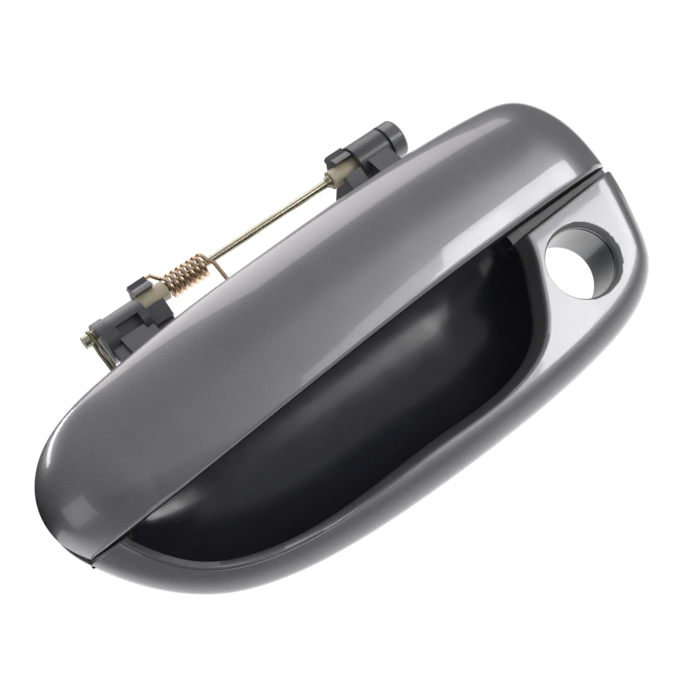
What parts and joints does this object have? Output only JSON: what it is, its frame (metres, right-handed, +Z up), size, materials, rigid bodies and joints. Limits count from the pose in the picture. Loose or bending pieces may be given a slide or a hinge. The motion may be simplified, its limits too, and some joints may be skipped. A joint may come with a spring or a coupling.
{
  "type": "car door handle",
  "caption": "Exterior pull-flap door handle for a car: painted paddle on a sprung hinge rod, finger recess, lock cylinder hole and release lever.",
  "frame": {"origin": "on the door skin's outer surface, midway between the two mounting bolts", "axes": "+X along the handle towards the lock cylinder, +Y into the door, +Z up"},
  "size_m": [0.1971, 0.0599, 0.1013],
  "materials": {
    "body_paint": "metallic grey base coat with clear lacquer",
    "frame_plastic": "fine-grained glass-filled nylon",
    "gloss_black": "polished black moulding",
    "foam_rubber": "closed-cell foam",
    "soft_rubber": "moulded rubber",
    "brass_insert": "turned",
    "zinc_steel": "zinc plated",
    "hinge_steel": "yellow zinc plated",
    "cream_acetal": "natural acetal",
    "grey_plastic": "satin",
    "clip_wire": "passivated spring wire",
    "copper_spring": "copper-coloured spring wire",
    "spring_steel": "oiled spring wire",
    "lever_steel": "zinc plated casting",
    "green_acetal": "acetal"
  },
  "bodies": {
    "base": {"base_frame": "frame_plastic", "painted_bezel": "body_paint", "recess_bowl": "gloss_black", "mounting_gasket": "foam_rubber", "threaded_inserts": "brass_insert", "bezel_screws": "zinc_steel", "closing_bumpers": "soft_rubber", "hinge_rod": "hinge_steel", "left_hinge_bush": "cream_acetal", "right_hinge_bush": "cream_acetal", "rod_end_cap": "grey_plastic", "rod_end_clip": "clip_wire", "return_spring": "copper_spring", "lever_pin": "zinc_steel", "lever_pin_clip": "clip_wire", "lever_spring": "spring_steel"},
    "paddle": {"paddle_shell": "body_paint", "paddle_carrier": "frame_plastic", "carrier_screws": "zinc_steel"},
    "release_lever": {"release_lever": "lever_steel"},
    "rod_clip": {"latch_rod_clip": "green_acetal"}
  },
  "joints": [
    {"name": "paddle_hinge", "type": "hinge", "parent": "base", "child": "paddle", "pos_m": [0, 0.016, 0.0334], "axis": [-1, 0, 0], "range_deg": [0, 35], "stiffness_Nm_per_rad": 0.9, "springref_deg": -17.19, "deforming": ["return_spring"]},
    {"name": "lever_pivot", "type": "hinge", "parent": "base", "child": "release_lever", "pos_m": [0, 0.0125, 0.016], "axis": [-1, 0, 0], "range_deg": [0, 20.5]},
    {"name": "rod_clip_swivel", "type": "hinge", "parent": "release_lever", "child": "rod_clip", "pos_m": [0.0079, 0.0365, 0.013], "axis": [1, 0, 0], "range_deg": [-25, 25]}
  ],
  "couplings": [
    {"joint": "lever_pivot", "follows": "paddle_hinge", "ratio": 0.57143}
  ]
}
